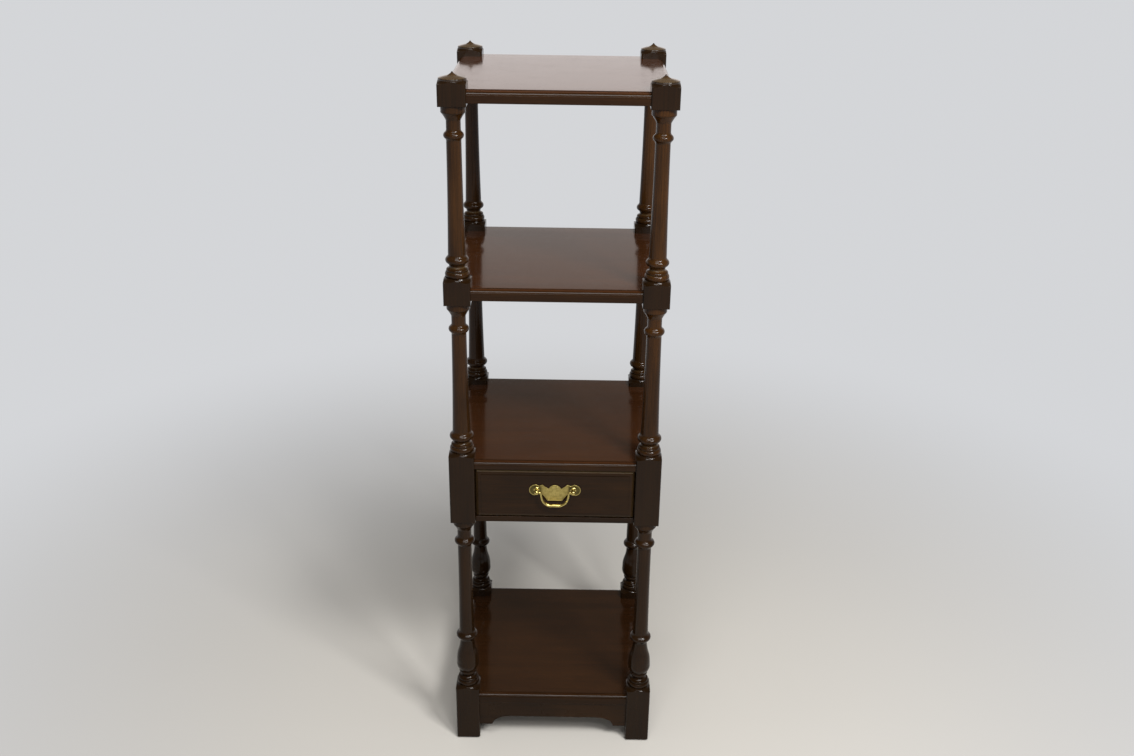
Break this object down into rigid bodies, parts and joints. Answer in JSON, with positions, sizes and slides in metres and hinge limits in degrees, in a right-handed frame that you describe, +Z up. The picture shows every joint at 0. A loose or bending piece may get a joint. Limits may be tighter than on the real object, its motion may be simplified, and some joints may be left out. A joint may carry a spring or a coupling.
{
  "type": "shelving unit",
  "caption": "Tall square mahogany stand with turned corner posts, open shelves, arched aprons at the foot and a small drawer with a brass bail pull.",
  "frame": {"origin": "on the floor, midway between the four posts", "axes": "+Z up, -Y towards the front with the drawer, +X to the right as seen from the front"},
  "size_m": [0.368, 0.3773, 1.2596],
  "materials": {
    "post_mahogany": "dark red-brown mahogany, turned, glossy lacquer",
    "shelf_mahogany": "dark red-brown mahogany boards, glossy lacquer",
    "case_mahogany": "dark red-brown mahogany boards, satin lacquer",
    "drawer_front_mahogany": "dark red-brown mahogany, glossy lacquer",
    "lining_oak": "pale oak, planed and waxed",
    "inner_pine": "pale pine, sawn and planed, unfinished",
    "dowel_beech": "beech, unfinished",
    "pull_brass": "aged yellow brass, polished on the high places",
    "nut_brass": "plain turned brass",
    "screw_steel": "plain steel"
  },
  "bodies": {
    "carcass": {"back_left_post": "post_mahogany", "back_right_post": "post_mahogany", "front_left_post": "post_mahogany", "front_right_post": "post_mahogany", "back_left_finial": "post_mahogany", "back_right_finial": "post_mahogany", "front_left_finial": "post_mahogany", "front_right_finial": "post_mahogany", "top_shelf": "shelf_mahogany", "second_shelf": "shelf_mahogany", "third_shelf": "shelf_mahogany", "bottom_shelf": "shelf_mahogany", "front_apron": "case_mahogany", "back_apron": "case_mahogany", "left_apron": "case_mahogany", "right_apron": "case_mahogany", "left_case_side": "case_mahogany", "right_case_side": "case_mahogany", "case_back": "case_mahogany", "drawer_rail": "case_mahogany", "apron_glue_blocks": "inner_pine", "left_runner": "inner_pine", "right_runner": "inner_pine", "left_drawer_guide": "inner_pine", "right_drawer_guide": "inner_pine", "drawer_stops": "inner_pine", "top_shelf_dowels": "dowel_beech", "second_shelf_dowels": "dowel_beech", "third_shelf_dowels": "dowel_beech", "bottom_shelf_dowels": "dowel_beech"},
    "drawer": {"drawer_front": "drawer_front_mahogany", "drawer_left_side": "lining_oak", "drawer_right_side": "lining_oak", "drawer_back": "lining_oak", "drawer_bottom": "lining_oak", "drawer_bottom_screws": "screw_steel", "pull_plate": "pull_brass", "pull_posts": "pull_brass", "pull_nuts": "nut_brass"},
    "bail": {"pull_bail": "pull_brass"}
  },
  "joints": [
    {"name": "drawer_slide", "type": "slide", "parent": "carcass", "child": "drawer", "axis": [0, -1, 0], "range_m": [0, 0.22]},
    {"name": "bail_swing", "type": "hinge", "parent": "drawer", "child": "bail", "pos_m": [0, -0.1885, 0.54865], "axis": [-1, 0, 0], "range_deg": [-12, 180]}
  ]
}
